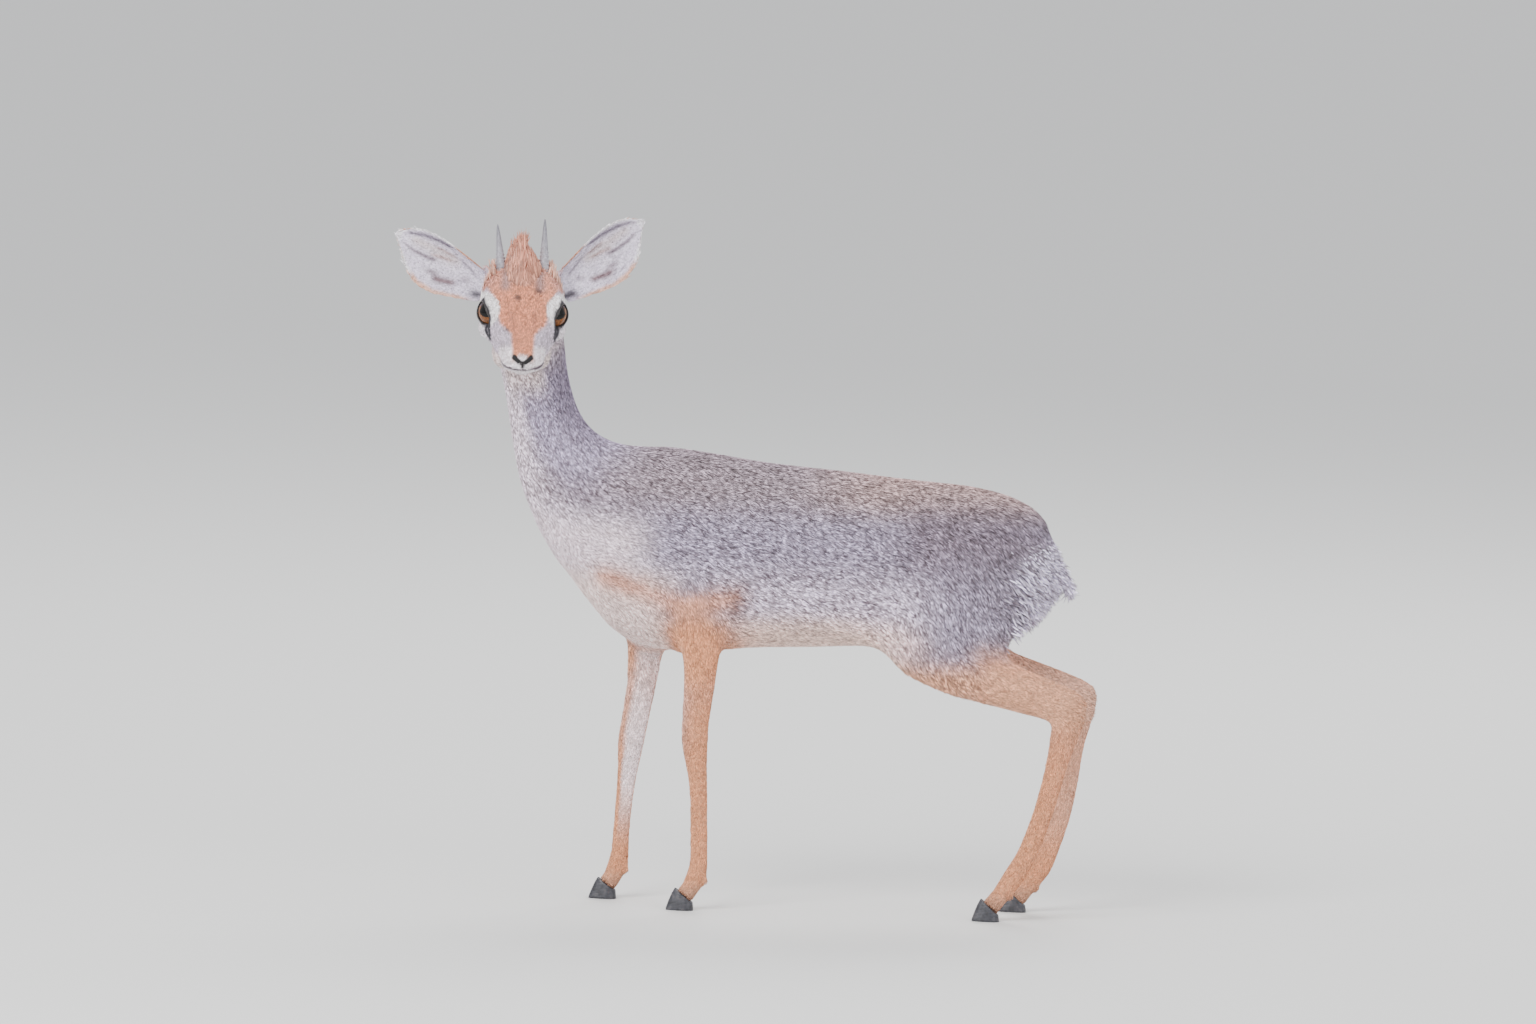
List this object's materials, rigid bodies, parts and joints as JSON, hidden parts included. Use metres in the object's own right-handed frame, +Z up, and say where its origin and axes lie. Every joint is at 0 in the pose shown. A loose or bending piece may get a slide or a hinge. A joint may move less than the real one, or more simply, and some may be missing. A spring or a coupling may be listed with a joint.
{
  "type": "dik dik",
  "caption": "Still life-size model of a horned male dik dik standing side-on, head turned to the viewer, ears spread and crest raised",
  "frame": {"origin": "centre of the bounding box at the level of the soles", "axes": "+Z is up, the animal faces -X and its left side faces -Y, which is also where the head looks"},
  "size_m": [0.5884, 0.1566, 0.5638],
  "materials": {
    "face_fur": "short rufous fur with a raised crest",
    "neck_fur": "short grey ticked fur",
    "body_fur": "short grizzled grey-brown fur",
    "ear_fur": "thin skin with fine pale fur",
    "leg_fur": "very short tawny fur",
    "eye": "wet gloss over a dark amber iris",
    "horn": "ringed grey keratin, satin",
    "hoof": "dark grey keratin, satin"
  },
  "bodies": {
    "root": {"head": "face_fur", "neck": "neck_fur", "torso": "body_fur", "tail": "body_fur", "ear_left": "ear_fur", "ear_right": "ear_fur", "eye_left": "eye", "eye_right": "eye", "horn_left": "horn", "horn_right": "horn", "foreleg_left_upper": "leg_fur", "foreleg_left_lower": "leg_fur", "foreleg_right_upper": "leg_fur", "foreleg_right_lower": "leg_fur", "hindleg_left_upper": "leg_fur", "hindleg_left_lower": "leg_fur", "hindleg_right_upper": "leg_fur", "hindleg_right_lower": "leg_fur", "hoof_foreleg_left_a": "hoof", "hoof_foreleg_left_b": "hoof", "hoof_foreleg_right_a": "hoof", "hoof_foreleg_right_b": "hoof", "hoof_hindleg_left_a": "hoof", "hoof_hindleg_left_b": "hoof", "hoof_hindleg_right_a": "hoof", "hoof_hindleg_right_b": "hoof"}
  },
  "joints": []
}
